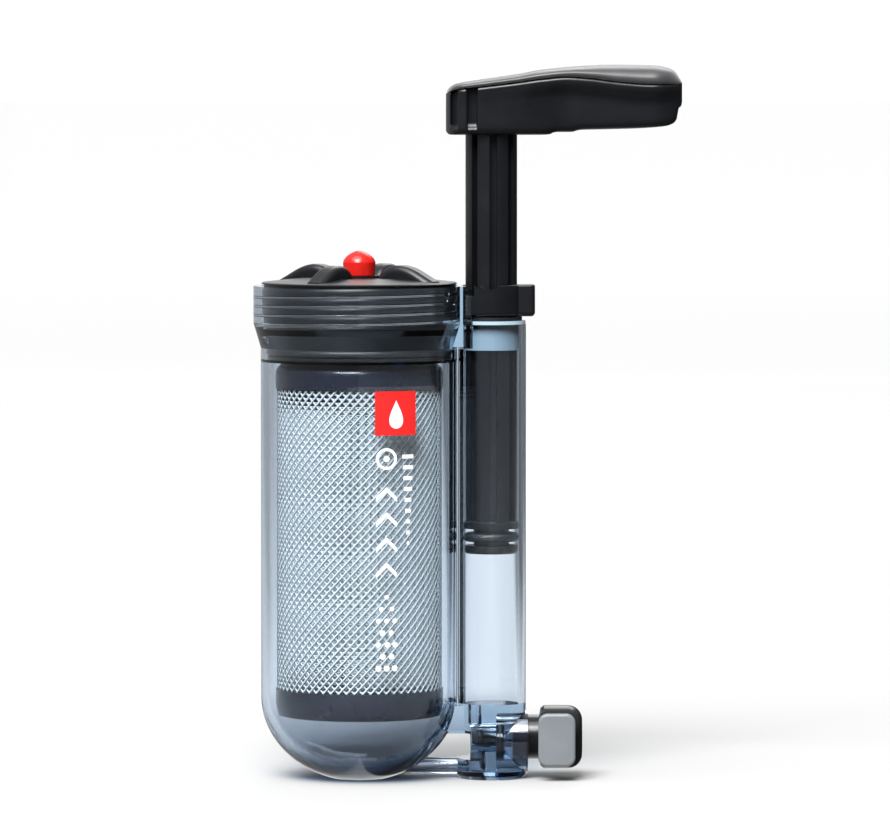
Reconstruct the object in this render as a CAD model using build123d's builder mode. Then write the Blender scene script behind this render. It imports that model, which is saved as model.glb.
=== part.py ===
from build123d import *
from math import asin, cos, degrees, radians, sin, sqrt
import os

os.makedirs("parts", exist_ok=True)

# Pump water filter, in millimetres. The origin is the centre of the chamber's flat foot on the floor.
# +Z is the chamber's axis, +X points to the pump, and -Y is the front.

# Filter chamber
chamber_r = 28.5
chamber_inner_r = 26.1
dome_z = 24.0
dome_depth = 25.0
dome_inner_depth = 21.6
shoulder_z = 124.6
collar_z = 131.7
rim_z = 142.5
collar_r = 30.6

# Screw joint between collar and lid
thread_pitch = 2.6
collar_bore_r = 28.4
collar_crest_r = 27.8
lid_root_r = 27.5
lid_crest_r = 28.1
lid_ridge_half_width = 1.2
thread_turns = 3.5
thread_z = 131.6
thread_start_angle = 201

# O-ring seat of the lid
seat_r = 26.9
seat_bottom_z = 121.4
seat_top_z = 129.0

# Pump cylinder
pump_x = 38.1
pump_r = 10.0
bore_r = 8.1
bore_bottom_z = 21.7
cylinder_top_z = 131.4

# Base below the pump
web_left_x = 20.0
window_left_x = 26.5
window_right_x = 32.0
window_bottom_z = 5.8
web_bottom_z = 13.3
channel_z = 3.35
channel_r = 2.45
boss_z = 10.6
boss_r = 9.3
boss_end_x = 48.7

# Inlet, on one horizontal axis
inlet_z = 11.8
socket_r = 8.3
socket_x = 39.3

# Lid
lid_r = 28.2
lid_underside_z = 143.0
lid_rim_top_z = 143.5
lid_flat_r = 16.5
lid_top_z = 144.7
arm_width = 6.5
arm_start_angle = 60

# Cartridge
cartridge_r = 24.2
cartridge_bottom_z = 18.4
cartridge_top_z = 120.6
neck_r = 5.1

# Pump rod
rod_r = 7.46
flute_count = 8
flute_width = 2.2
flute_depth = 2.5
flange_top_z = 74.5
piston_bottom_z = 65.2
rod_top_z = 198.0

# Handle
hub_bottom_z = 186.0
keel_bottom_z = 187.5
grip_split_z = 193.2
handle_left_x = 25.0
handle_right_x = 93.1

# Quick coupling
head_r = 9.15
coupling_bore_r = 4.0
latch_travel = 2.2


def axis_x_plane(x, z):
    """A plane that faces +X at height z, with its local x along +Y and its local y up."""
    return Plane(origin=(x, 0, z), x_dir=(0, 1, 0), z_dir=(1, 0, 0))


def half_plane(angle):
    """The upright plane through the Z axis at this angle from +X, with its local x outwards."""
    a = radians(angle)
    return Plane(origin=(0, 0, 0), x_dir=(cos(a), sin(a), 0), z_dir=(sin(a), -cos(a), 0))


def flat_sided_disc(radius, flat_x, hole_r=0.0):
    """In the open sketch, a disc about the pump's axis, cut off flat towards the chamber at flat_x."""
    with Locations((pump_x, 0)):
        Circle(radius)
    with Locations((flat_x - radius, 0)):
        Rectangle(2 * radius, 2 * radius + 1, mode=Mode.SUBTRACT)
    if hole_r:
        with Locations((pump_x, 0)):
            Circle(hole_r, mode=Mode.SUBTRACT)


pump_axis = Axis((pump_x, 0, 0), (0, 0, 1))


def save(part, name):
    part.label = name
    export_step(part, f"parts/{name}.step")


# ---------------------------------------------------------------- threads

with BuildPart() as collar_thread:
    with BuildLine() as collar_helix:
        Helix(pitch=thread_pitch, height=thread_turns * thread_pitch, radius=collar_bore_r,
              center=(0, 0, thread_z))
    with BuildSketch(Plane(origin=collar_helix.line @ 0, x_dir=(1, 0, 0), z_dir=collar_helix.line % 0)):
        with BuildLine():
            Polyline((0.5, -0.6), (collar_crest_r - collar_bore_r, -0.1),
                     (collar_crest_r - collar_bore_r, 0.1), (0.5, 0.6), close=True)
        make_face()
    sweep(path=collar_helix.line, is_frenet=True)

with BuildPart() as lid_thread:
    with BuildLine() as lid_helix:
        Helix(pitch=thread_pitch, height=thread_turns * thread_pitch, radius=lid_root_r,
              center=(0, 0, thread_z + thread_pitch / 2))
    with BuildSketch(Plane(origin=lid_helix.line @ 0, x_dir=(1, 0, 0), z_dir=lid_helix.line % 0)):
        with BuildLine():
            ThreePointArc((0.15, -lid_ridge_half_width), (lid_crest_r - lid_root_r, 0),
                          (0.15, lid_ridge_half_width))
            Polyline((0.15, lid_ridge_half_width), (-0.4, lid_ridge_half_width),
                     (-0.4, -lid_ridge_half_width), (0.15, -lid_ridge_half_width))
        make_face()
    sweep(path=lid_helix.line, is_frenet=True)


# ---------------------------------------------------------------- housing

clip_clearance_r = 9.3
relief_x = 29.9
wiper_z = cylinder_top_z + 1.0
flange_left_x = 22.0
flange_right_x = 32.8
flange_half_width = 9.6
arm_slot_x = 32.0
arm_slot_y = 8.35
web_width = 6.0
gusset_x = 29.0
gusset_length = 14.0
gusset_width = 13.0
gusset_height = 8.0
channel_left_x = 13.0
valve_bore_r = 4.2
valve_left_x = 33.4
outlet_x = 34.9
foot_r = chamber_r * sqrt(1 - (dome_z / dome_depth) ** 2)
foot_angle = -degrees(asin(dome_z / dome_depth))
floor_z = 2.9
floor_angle = -degrees(asin((dome_z - floor_z) / dome_inner_depth))
floor_r = chamber_inner_r * cos(radians(floor_angle))
mark_angle = -35
mark_z = 139.5

with BuildPart() as housing:
    # chamber, dome and collar as one solid of revolution
    with BuildSketch(Plane.XZ):
        with BuildLine():
            Line((0, 0), (foot_r, 0))
            EllipticalCenterArc((0, dome_z), chamber_r, dome_depth, foot_angle, arc_size=-foot_angle)
            Polyline((chamber_r, dome_z), (chamber_r, shoulder_z), (collar_r, collar_z),
                     (collar_r, rim_z), (0, rim_z), (0, 0))
        make_face()
    revolve(axis=Axis.Z)
    # pump cylinder, its foot, and the web that ties it to the chamber
    with BuildSketch(Plane.XY):
        with Locations((pump_x, 0)):
            Circle(pump_r)
    extrude(amount=cylinder_top_z)
    chamfer(housing.edges().filter_by(GeomType.CIRCLE).filter_by_position(Axis.Z, -0.1, 0.1)
            .filter_by(lambda e: e.center().X > 20), length=1.0)
    with BuildSketch(Plane.XY.offset(web_bottom_z)):
        with Locations(((web_left_x + pump_x) / 2, 0)):
            Rectangle(pump_x - web_left_x, web_width)
    extrude(amount=cylinder_top_z - web_bottom_z)
    # inlet boss
    with BuildSketch(axis_x_plane(pump_x, boss_z)):
        Circle(boss_r)
    extrude(amount=boss_end_x - pump_x)
    # wide gusset at the web's foot, and the channel under the window
    with BuildSketch(Plane.XY.offset(web_bottom_z)):
        with Locations((gusset_x, 0)):
            Rectangle(gusset_length, gusset_width)
    extrude(amount=gusset_height)
    with BuildSketch(axis_x_plane(channel_left_x, channel_z)):
        Circle(channel_r)
    extrude(amount=pump_x - channel_left_x)
    # bridging flange between the collar and the pump's top
    with BuildSketch(Plane.XY.offset(shoulder_z)):
        with Locations(((flange_left_x + flange_right_x) / 2, 0)):
            RectangleRounded(flange_right_x - flange_left_x, 2 * flange_half_width, 1.5)
    extrude(amount=rim_z - shoulder_z)
    # the window right through below the web
    with BuildSketch(Plane.XY.offset(window_bottom_z)):
        with Locations(((window_left_x + window_right_x) / 2, 0)):
            Rectangle(window_right_x - window_left_x, 2 * pump_r)
    extrude(amount=web_bottom_z - window_bottom_z, mode=Mode.SUBTRACT)
    # raised alignment mark on the collar
    mark_out = (cos(radians(mark_angle)), sin(radians(mark_angle)), 0)
    mark_side = (-sin(radians(mark_angle)), cos(radians(mark_angle)), 0)
    with BuildSketch(Plane(origin=(0, 0, mark_z), x_dir=mark_side, z_dir=mark_out).offset(collar_r - 0.4)):
        with BuildLine():
            Polyline((-1.15, 1.4), (1.15, 1.4), (0, -1.4), close=True)
        make_face()
    extrude(amount=0.75)
    # inside of the chamber, its lid seat and its threaded collar
    with BuildSketch(Plane.XZ):
        with BuildLine():
            Line((0, floor_z), (floor_r, floor_z))
            EllipticalCenterArc((0, dome_z), chamber_inner_r, dome_inner_depth, floor_angle,
                                arc_size=-floor_angle)
            Polyline((chamber_inner_r, dome_z), (chamber_inner_r, seat_bottom_z - 0.8),
                     (seat_r, seat_bottom_z), (seat_r, seat_top_z), (collar_bore_r, 130.6),
                     (collar_bore_r, rim_z + 1), (0, rim_z + 1), (0, floor_z))
        make_face()
    revolve(axis=Axis.Z, mode=Mode.SUBTRACT)
    # pump bore
    with BuildSketch(Plane.XY.offset(bore_bottom_z)):
        with Locations((pump_x, 0)):
            Circle(bore_r)
    extrude(amount=cylinder_top_z - bore_bottom_z, mode=Mode.SUBTRACT)
    # room for the bush flange, the wiper and the clip above the cylinder
    with BuildSketch(Plane.XY.offset(cylinder_top_z)):
        flat_sided_disc(pump_r + 0.2, relief_x)
    extrude(amount=1.2, mode=Mode.SUBTRACT)
    with BuildSketch(Plane.XY.offset(wiper_z)):
        flat_sided_disc(clip_clearance_r, relief_x)
    extrude(amount=12.0, mode=Mode.SUBTRACT)
    # slots in the bridging flange for the clip's arms
    with BuildSketch(Plane.XY.offset(134.0)):
        with Locations((arm_slot_x, arm_slot_y), (arm_slot_x, -arm_slot_y)):
            Rectangle(2.8, 1.9)
    extrude(amount=6.0, mode=Mode.SUBTRACT)
    # inlet socket, valve chamber, pump port, outlet pocket and channel
    with BuildSketch(axis_x_plane(socket_x, boss_z)):
        Circle(socket_r)
    extrude(amount=12.0, mode=Mode.SUBTRACT)
    with BuildSketch(axis_x_plane(valve_left_x, inlet_z)):
        Circle(valve_bore_r)
    extrude(amount=8.0, mode=Mode.SUBTRACT)
    with BuildSketch(Plane.XY.offset(inlet_z)):
        with Locations((outlet_x, 0)):
            Circle(1.4)
    extrude(amount=bore_bottom_z - inlet_z + 1.0, mode=Mode.SUBTRACT)
    with BuildSketch(Plane.XY.offset(2.0)):
        with Locations((outlet_x, 0)):
            Circle(2.2)
    extrude(amount=inlet_z - 2.0, mode=Mode.SUBTRACT)
    with BuildSketch(axis_x_plane(8.0, channel_z)):
        Circle(1.3)
    extrude(amount=outlet_x - 8.0, mode=Mode.SUBTRACT)
    with PolarLocations(0, 1, start_angle=thread_start_angle):
        add(collar_thread.part)
save(housing.part, "housing")


# ---------------------------------------------------------------- base: valves and inlet adapter

with BuildPart() as inlet_adapter:
    with BuildSketch(axis_x_plane(41.5, boss_z)):
        Circle(socket_r - 0.05)
    extrude(amount=boss_end_x - 41.5)
    chamfer(inlet_adapter.faces().sort_by(Axis.X)[-1].edges(), length=0.5)
    with BuildSketch(axis_x_plane(41.5, inlet_z)):
        Circle(2.5)
    extrude(amount=8.0, mode=Mode.SUBTRACT)
    with BuildSketch(axis_x_plane(44.2, inlet_z)):
        Circle(6.45)
    extrude(amount=5.0, mode=Mode.SUBTRACT)
save(inlet_adapter.part, "inlet_adapter")

with BuildPart() as adapter_o_ring:
    with BuildSketch(Plane.XZ):
        with Locations((40.4, boss_z + 7.25)):
            Circle(1.0)
    revolve(axis=Axis((0, 0, boss_z), (1, 0, 0)))
save(adapter_o_ring.part, "adapter_o_ring")

with BuildPart() as inlet_valve_seat:
    with BuildSketch(axis_x_plane(36.2, inlet_z)):
        Circle(valve_bore_r - 0.05)
        with PolarLocations(1.6, 4):
            Circle(0.65, mode=Mode.SUBTRACT)
    extrude(amount=1.6)
    with BuildSketch(axis_x_plane(37.8, inlet_z)):
        Circle(3.6)
        Circle(2.6, mode=Mode.SUBTRACT)
    extrude(amount=1.7)
save(inlet_valve_seat.part, "inlet_valve_seat")

with BuildPart() as inlet_valve_disc:
    with BuildSketch(axis_x_plane(35.2, inlet_z)):
        Circle(3.3)
    extrude(amount=0.9)
    fillet(inlet_valve_disc.faces().sort_by(Axis.X)[0].edges(), radius=0.35)
save(inlet_valve_disc.part, "inlet_valve_disc")

with BuildPart() as outlet_valve_seat:
    with BuildSketch(Plane.XY.offset(5.9)):
        with Locations((outlet_x, 0)):
            Circle(2.15)
            Circle(0.9, mode=Mode.SUBTRACT)
    extrude(amount=1.6)
save(outlet_valve_seat.part, "outlet_valve_seat")

with BuildPart() as outlet_valve_disc:
    with BuildSketch(Plane.XY.offset(5.0)):
        with Locations((outlet_x, 0)):
            Circle(1.7)
    extrude(amount=0.85)
    fillet(outlet_valve_disc.faces().sort_by(Axis.Z)[0].edges(), radius=0.3)
save(outlet_valve_disc.part, "outlet_valve_disc")


# ---------------------------------------------------------------- quick coupling

slot_x = 53.8
slot_width = 1.8
plate_thickness = 1.4
plate_r = 6.3
plate_hole_r = 4.4
pad_inner_y = -11.5
pad_outer_y = -13.6
spring_x = 58.7
spring_pocket_y = -6.1

with BuildPart() as coupling_body:
    with BuildSketch(Plane.XZ):
        with BuildLine():
            Polyline((44.4, inlet_z), (44.4, inlet_z + 6.4), (52.0, inlet_z + 6.4), (52.4, inlet_z + 8.4),
                     (53.4, inlet_z + head_r), (60.0, inlet_z + head_r))
            ThreePointArc((60.0, inlet_z + head_r), (62.9, inlet_z + 8.2), (64.4, inlet_z + 5.6))
            Polyline((64.4, inlet_z + 5.6), (64.4, inlet_z), (44.4, inlet_z))
        make_face()
    revolve(axis=Axis((0, 0, inlet_z), (1, 0, 0)))
    # stepped waterway and the socket
    with BuildSketch(axis_x_plane(44.4, inlet_z)):
        Circle(2.3)
    extrude(amount=10.0, mode=Mode.SUBTRACT)
    with BuildSketch(axis_x_plane(51.6, inlet_z)):
        Circle(coupling_bore_r)
    extrude(amount=13.0, mode=Mode.SUBTRACT)
    # slot for the latch plate
    with BuildSketch(axis_x_plane(slot_x, inlet_z)):
        with Locations((-5.0 + latch_travel / 2, 0)):
            Rectangle(10.0 + latch_travel, 2 * plate_r + 0.6)
        with Locations((latch_travel, 0)):
            Circle(plate_r + 0.3)
    extrude(amount=slot_width, mode=Mode.SUBTRACT)
    # pocket for the latch spring
    with BuildSketch(Plane.XZ.offset(-spring_pocket_y)):
        with Locations((spring_x, inlet_z)):
            Circle(2.4)
    extrude(amount=5.0, mode=Mode.SUBTRACT)
save(coupling_body.part, "coupling_body")

with BuildPart() as coupling_o_ring:
    with BuildSketch(Plane.XZ):
        with Locations((52.6, inlet_z + 3.1)):
            Circle(0.85)
    revolve(axis=Axis((0, 0, inlet_z), (1, 0, 0)))
save(coupling_o_ring.part, "coupling_o_ring")

with BuildPart() as coupling_latch:
    # plate around the waterway
    with BuildSketch(axis_x_plane(slot_x + (slot_width - plate_thickness) / 2, inlet_z)):
        with Locations((pad_inner_y / 2, 0)):
            Rectangle(-pad_inner_y, 2 * plate_r)
        Circle(plate_r)
        with Locations((-2.0, 0)):
            SlotCenterToCenter(latch_travel, 2 * plate_hole_r, mode=Mode.SUBTRACT)
    extrude(amount=plate_thickness)
    # thumb pad
    with BuildSketch(Plane.XZ.offset(-pad_inner_y)):
        with Locations((56.95, 11.95)):
            RectangleRounded(10.7, 15.2, 2.6)
    extrude(amount=pad_inner_y - pad_outer_y)
    fillet(coupling_latch.faces().sort_by(Axis.Y)[0].edges(), radius=0.8)
save(coupling_latch.part, "coupling_latch")

spring_wire_r = 0.3
spring_turns = 4
spring_r = 1.8
with BuildPart() as latch_spring:
    with BuildLine() as spring_helix:
        Helix(pitch=(spring_pocket_y - pad_inner_y - 2 * spring_wire_r) / spring_turns,
              height=spring_pocket_y - pad_inner_y - 2 * spring_wire_r, radius=spring_r,
              center=(spring_x, spring_pocket_y - spring_wire_r, inlet_z), direction=(0, -1, 0))
    with BuildSketch(Plane(origin=spring_helix.line @ 0, z_dir=spring_helix.line % 0)):
        Circle(spring_wire_r)
    sweep(path=spring_helix.line, is_frenet=True)
save(latch_spring.part, "latch_spring")


# ---------------------------------------------------------------- pump

bush_bottom_z = 124.0
with BuildPart() as guide_bush:
    with BuildSketch(Plane.XY.offset(bush_bottom_z)):
        with Locations((pump_x, 0)):
            Circle(bore_r - 0.03)
            Circle(rod_r + 0.08, mode=Mode.SUBTRACT)
    extrude(amount=cylinder_top_z - bush_bottom_z)
    with BuildSketch(Plane.XY.offset(cylinder_top_z)):
        flat_sided_disc(pump_r - 0.1, relief_x + 0.1, hole_r=rod_r + 0.08)
    extrude(amount=wiper_z - cylinder_top_z)
save(guide_bush.part, "guide_bush")

with BuildPart() as rod_wiper:
    with BuildSketch(Plane.XY.offset(wiper_z)):
        flat_sided_disc(8.9, relief_x + 0.1, hole_r=rod_r + 0.05)
    extrude(amount=1.1)
save(rod_wiper.part, "rod_wiper")

clip_bottom_z = 133.7
clip_top_z = 142.8
clip_r = 9.0
clip_inner_r = 7.75
clip_left_x = 33.2
clip_tab_x = 50.7
with BuildPart() as retainer_clip:
    # rounded block with the pull tab
    with BuildSketch(Plane.XY.offset(clip_bottom_z)):
        with Locations((pump_x, 0)):
            Circle(clip_r)
        with Locations((clip_tab_x - 4.5, 0)):
            RectangleRounded(9.0, 9.0, 1.2)
        with Locations(((clip_left_x + pump_x) / 2, 0)):
            Rectangle(pump_x - clip_left_x, 2 * clip_r)
    extrude(amount=clip_top_z - clip_bottom_z)
    fillet(retainer_clip.faces().sort_by(Axis.Z)[0].edges(), radius=1.2)
    fillet(retainer_clip.faces().sort_by(Axis.Z)[-1].edges(), radius=0.5)
    # shallow scoop in the front top edge
    with BuildSketch(Plane.XZ.offset(clip_r + 1)):
        with Locations((37.0, clip_top_z + 5.2)):
            Circle(6.6)
    extrude(amount=-3.2, mode=Mode.SUBTRACT)
    # opening for the rod
    with BuildSketch(Plane.XY.offset(clip_bottom_z)):
        with Locations((pump_x, 0)):
            Circle(clip_inner_r)
        with Locations((pump_x - clip_inner_r, 0)):
            Rectangle(2 * clip_inner_r, 2 * clip_inner_r)
    extrude(amount=clip_top_z - clip_bottom_z, mode=Mode.SUBTRACT)
    # arms that enter the housing's slots
    with BuildSketch(Plane.XY.offset(134.4)):
        with Locations((arm_slot_x + 0.6, arm_slot_y), (arm_slot_x + 0.6, -arm_slot_y)):
            Rectangle(3.2, 1.2)
    extrude(amount=5.2)
save(retainer_clip.part, "retainer_clip")

with BuildPart() as pump_rod:
    # fluted shank
    with BuildSketch(Plane.XY.offset(flange_top_z)):
        with Locations((pump_x, 0)):
            Circle(rod_r)
            with PolarLocations(rod_r - flute_depth / 2 + 0.5, flute_count, start_angle=4):
                Rectangle(flute_depth + 1.0, flute_width, mode=Mode.SUBTRACT)
    extrude(amount=hub_bottom_z - flange_top_z)
    # plain top end, held in the handle's socket
    with BuildSketch(Plane.XY.offset(hub_bottom_z)):
        with Locations((pump_x, 0)):
            Circle(rod_r)
            Circle(1.2, mode=Mode.SUBTRACT)
    extrude(amount=rod_top_z - hub_bottom_z)
    # piston: two flanges with the seal's groove between them
    with BuildSketch(Plane(origin=(pump_x, 0, 0), x_dir=(1, 0, 0), z_dir=(0, -1, 0))):
        with BuildLine():
            Polyline((0, piston_bottom_z), (7.2, piston_bottom_z), (7.7, piston_bottom_z + 0.5), (7.7, 67.5),
                     (5.2, 67.5), (5.2, 72.4), (7.95, 72.4), (7.95, flange_top_z - 0.3), (7.6, flange_top_z),
                     (0, flange_top_z), close=True)
        make_face()
    revolve(axis=pump_axis)
save(pump_rod.part, "pump_rod")

with BuildPart() as piston_o_ring:
    with BuildSketch(Plane.XZ):
        with Locations((pump_x + 6.76, 69.9)):
            Circle(1.3)
    revolve(axis=pump_axis)
save(piston_o_ring.part, "piston_o_ring")


# ---------------------------------------------------------------- handle

with BuildPart() as handle_body:
    # upper beam, below the wavy parting line
    with BuildSketch(Plane.XZ.offset(-10.2)):
        with BuildLine():
            Polyline((handle_left_x, grip_split_z), (handle_left_x, 196.2))
            Spline((handle_left_x, 196.2), (27.6, 198.8), (40.0, 200.6), (53.6, 202.0), (59.4, 202.6),
                   (75.2, 201.2), (83.9, 200.7), (handle_right_x, 200.9))
            Polyline((handle_right_x, 200.9), (handle_right_x, grip_split_z), (handle_left_x, grip_split_z))
        make_face()
    extrude(amount=20.4)
    fillet(handle_body.edges().filter_by(Axis.Z), radius=7.0)
    # keel under the grip
    with BuildSketch(Plane.XZ.offset(-7.5)):
        with BuildLine():
            Polyline((50.0, grip_split_z + 1), (50.0, keel_bottom_z), (88.0, keel_bottom_z + 0.5),
                     (91.4, 190.5), (91.8, grip_split_z + 1), close=True)
        make_face()
    extrude(amount=15.0)
    # hub
    with BuildSketch(Plane.XY.offset(hub_bottom_z)):
        with Locations(((handle_left_x + 53.6) / 2, 0)):
            RectangleRounded(53.6 - handle_left_x, 19.6, 7.0)
    extrude(amount=grip_split_z - hub_bottom_z + 0.5)
    # two recesses on each side of the hub
    for side in (-1, 1):
        with BuildSketch(Plane.XY.offset(187.4)):
            with Locations((27.9, side * 9.7), (33.2, side * 9.9)):
                Rectangle(2.2, 2.0)
        extrude(amount=10.0, mode=Mode.SUBTRACT)
    # socket for the rod and the counterbore of its screw
    with BuildSketch(Plane.XY.offset(hub_bottom_z)):
        with Locations((pump_x, 0)):
            Circle(rod_r + 0.02)
    extrude(amount=rod_top_z - hub_bottom_z, mode=Mode.SUBTRACT)
    with BuildSketch(Plane.XY.offset(rod_top_z)):
        with Locations((pump_x, 0)):
            Circle(1.6)
    extrude(amount=8.0, mode=Mode.SUBTRACT)
save(handle_body.part, "handle_body")

with BuildPart() as palm_pad:
    with BuildSketch(Plane.XZ.offset(-10.6)):
        with BuildLine():
            Spline((handle_left_x, 196.3), (27.6, 198.9), (40.0, 200.7), (53.6, 202.1), (59.4, 202.7),
                   (75.2, 201.3), (83.9, 200.8), (handle_right_x, 201.0))
            Spline((handle_left_x, 196.3), (25.6, 198.4), (27.9, 200.4), (34.8, 201.9), (46.4, 203.4),
                   (52.2, 204.7), (63.9, 205.8), (72.6, 206.2), (84.5, 206.2), (89.0, 205.5), (91.6, 204.0),
                   (handle_right_x, 201.0))
        make_face()
    extrude(amount=21.2)
    with BuildSketch(Plane.XY.offset(190.0)):
        with Locations(((handle_left_x + handle_right_x) / 2, 0)):
            RectangleRounded(handle_right_x - handle_left_x, 21.2, 7.4)
    extrude(amount=20.0, mode=Mode.INTERSECT)
save(palm_pad.part, "palm_pad")

with BuildPart() as handle_screw:
    with BuildSketch(Plane.XY.offset(186.5)):
        with Locations((pump_x, 0)):
            Circle(1.15)
    extrude(amount=13.0)
save(handle_screw.part, "handle_screw")


# ---------------------------------------------------------------- lid

arm_start_r = 7.6
arm_end_r = 25.6
with BuildPart() as grip_arm:
    with BuildSketch(half_plane(0).offset(-arm_width / 2)):
        with BuildLine():
            Polyline((arm_start_r, lid_underside_z), (arm_start_r, 145.2))
            Spline((arm_start_r, 145.2), (9.4, 147.2), (13.0, 148.5), (17.5, 148.0), (21.5, 146.2),
                   (arm_end_r, lid_rim_top_z + 0.5))
            Polyline((arm_end_r, lid_rim_top_z + 0.5), (arm_end_r, lid_underside_z),
                     (arm_start_r, lid_underside_z))
        make_face()
    extrude(amount=arm_width)
    fillet(grip_arm.faces().sort_by(Axis.Z)[-1].edges().filter_by(GeomType.BSPLINE), radius=2.0)

with BuildPart() as lid:
    with BuildSketch(Plane.XZ):
        with BuildLine():
            Polyline((3.05, lid_top_z), (lid_flat_r, lid_top_z), (lid_r - 0.4, lid_rim_top_z),
                     (lid_r, lid_rim_top_z - 0.25), (lid_r, lid_underside_z),
                     (lid_root_r, lid_underside_z), (lid_root_r, 131.0), (26.5, 130.2), (26.5, 124.8),
                     (24.5, 124.8), (24.5, 122.3), (26.5, 122.3), (26.5, 121.5), (26.0, 121.0),
                     (22.6, 121.0), (22.6, 126.5), (24.2, 128.5), (24.2, 141.8), (9.0, 141.8),
                     (9.0, 124.5), (5.4, 124.5), (5.4, 137.5), (3.05, 137.5), close=True)
        make_face()
    revolve(axis=Axis.Z)
    with PolarLocations(0, 1, start_angle=thread_start_angle):
        add(lid_thread.part)
    with PolarLocations(0, 4, start_angle=arm_start_angle):
        add(grip_arm.part)
save(lid.part, "lid")

with BuildPart() as lid_o_ring:
    with BuildSketch(Plane.XZ):
        with Locations((25.72, 123.55)):
            Circle(1.12)
    revolve(axis=Axis.Z)
save(lid_o_ring.part, "lid_o_ring")

with BuildPart() as outlet_nipple:
    with BuildSketch(Plane.XZ):
        with BuildLine():
            Polyline((1.9, 138.0), (3.0, 138.0), (3.0, lid_top_z), (6.3, lid_top_z), (6.3, 145.4),
                     (3.0, 145.4), (3.0, 147.4), (3.3, 147.4), (3.0, 149.2), (3.3, 149.2), (2.7, 151.0),
                     (1.9, 151.0), close=True)
        make_face()
    revolve(axis=Axis.Z)
save(outlet_nipple.part, "outlet_nipple")

with BuildPart() as outlet_cap:
    with BuildSketch(Plane.XZ):
        with BuildLine():
            Polyline((3.36, 145.5), (4.55, 145.5), (4.7, 149.2))
            Spline((4.7, 149.2), (4.15, 150.35), (2.5, 151.75), (0.8, 152.5))
            Polyline((0.8, 152.5), (0, 152.5), (0, 151.3), (2.6, 151.3), (3.36, 150.6), (3.36, 145.5))
        make_face()
    revolve(axis=Axis.Z)
save(outlet_cap.part, "outlet_cap")


# ---------------------------------------------------------------- cartridge

media_bottom_z = 21.0
media_top_z = 113.0
lip_r = cartridge_r - 1.4
lip_outer_r = cartridge_r - 0.9
lip_z = 109.4
cap_edge_r = 3.6
pleat_tip_r = lip_r - 0.1
pleat_root_r = 8.6
paper = 0.6
sleeve_bottom_z = 26.2
sleeve_top_z = 113.2
core_r = 7.4
core_wall = 1.1
slot_rows = 7
slot_pitch = 13.0
first_slot_z = 28.0
pleats = 36

with BuildPart() as cartridge_top_cap:
    with BuildSketch(Plane.XZ):
        with BuildLine():
            Polyline((cartridge_r - cap_edge_r, cartridge_top_z), (neck_r, cartridge_top_z),
                     (neck_r, 127.0), (4.0, 127.0), (4.0, 129.4), (neck_r, 129.4), (neck_r, 131.5),
                     (4.6, 132.0), (3.0, 132.0), (3.0, media_top_z), (lip_r, media_top_z),
                     (lip_r, lip_z), (lip_outer_r, lip_z), (lip_outer_r, sleeve_top_z),
                     (cartridge_r, sleeve_top_z), (cartridge_r, cartridge_top_z - cap_edge_r))
            TangentArc((cartridge_r, cartridge_top_z - cap_edge_r),
                       (cartridge_r - cap_edge_r, cartridge_top_z), tangent=(0, 1))
        make_face()
    revolve(axis=Axis.Z)
save(cartridge_top_cap.part, "cartridge_top_cap")

with BuildPart() as cartridge_o_ring:
    with BuildSketch(Plane.XZ):
        with Locations((4.8, 128.2)):
            Circle(0.55)
    revolve(axis=Axis.Z)
save(cartridge_o_ring.part, "cartridge_o_ring")

with BuildPart() as cartridge_bottom_cap:
    with BuildSketch(Plane.XZ):
        with BuildLine():
            Polyline((0, cartridge_bottom_z), (cartridge_r - 1.6, cartridge_bottom_z),
                     (cartridge_r - 0.5, cartridge_bottom_z + 0.4), (cartridge_r, cartridge_bottom_z + 1.6),
                     (cartridge_r, sleeve_bottom_z),
                     (lip_r, sleeve_bottom_z), (lip_r, media_bottom_z), (0, media_bottom_z), close=True)
        make_face()
    revolve(axis=Axis.Z)
save(cartridge_bottom_cap.part, "cartridge_bottom_cap")

with BuildPart() as mesh_sleeve:
    with BuildSketch(Plane.XY.offset(sleeve_bottom_z)):
        Circle(cartridge_r - 0.3)
        Circle(cartridge_r - 0.8, mode=Mode.SUBTRACT)
    extrude(amount=sleeve_top_z - sleeve_bottom_z)
save(mesh_sleeve.part, "mesh_sleeve")


def pleat_outline(tip_r, root_r, half_angle):
    """Corner points of a folded ring: wide at tip_r for half_angle each side of each fold, else at root_r."""
    points = []
    for i in range(pleats):
        middle = 360 / pleats * i
        corners = ((root_r, -half_angle), (tip_r, -half_angle), (tip_r, half_angle), (root_r, half_angle))
        for radius, turn in corners:
            a = radians(middle + turn)
            points.append((radius * cos(a), radius * sin(a)))
    return points


with BuildPart() as pleated_media:
    with BuildSketch(Plane.XY.offset(media_bottom_z)):
        with BuildLine():
            Polyline(*pleat_outline(pleat_tip_r, pleat_root_r, 3.1), close=True)
        make_face()
        with BuildLine():
            Polyline(*pleat_outline(pleat_tip_r - paper, pleat_root_r - paper, 1.9), close=True)
        make_face(mode=Mode.SUBTRACT)
    extrude(amount=media_top_z - media_bottom_z)
save(pleated_media.part, "pleated_media")

with BuildPart() as core_tube:
    with BuildSketch(Plane.XY.offset(media_bottom_z)):
        Circle(core_r)
        Circle(core_r - core_wall, mode=Mode.SUBTRACT)
    extrude(amount=media_top_z - media_bottom_z)
    for row in range(slot_rows):
        for upright in (Plane.XZ, Plane.YZ):
            with BuildSketch(upright.offset(-core_r - 1)):
                with Locations((0, first_slot_z + slot_pitch * row)):
                    SlotOverall(5.0, 2.4, rotation=90)
            extrude(amount=2 * core_r + 2, mode=Mode.SUBTRACT)
save(core_tube.part, "core_tube")

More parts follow.
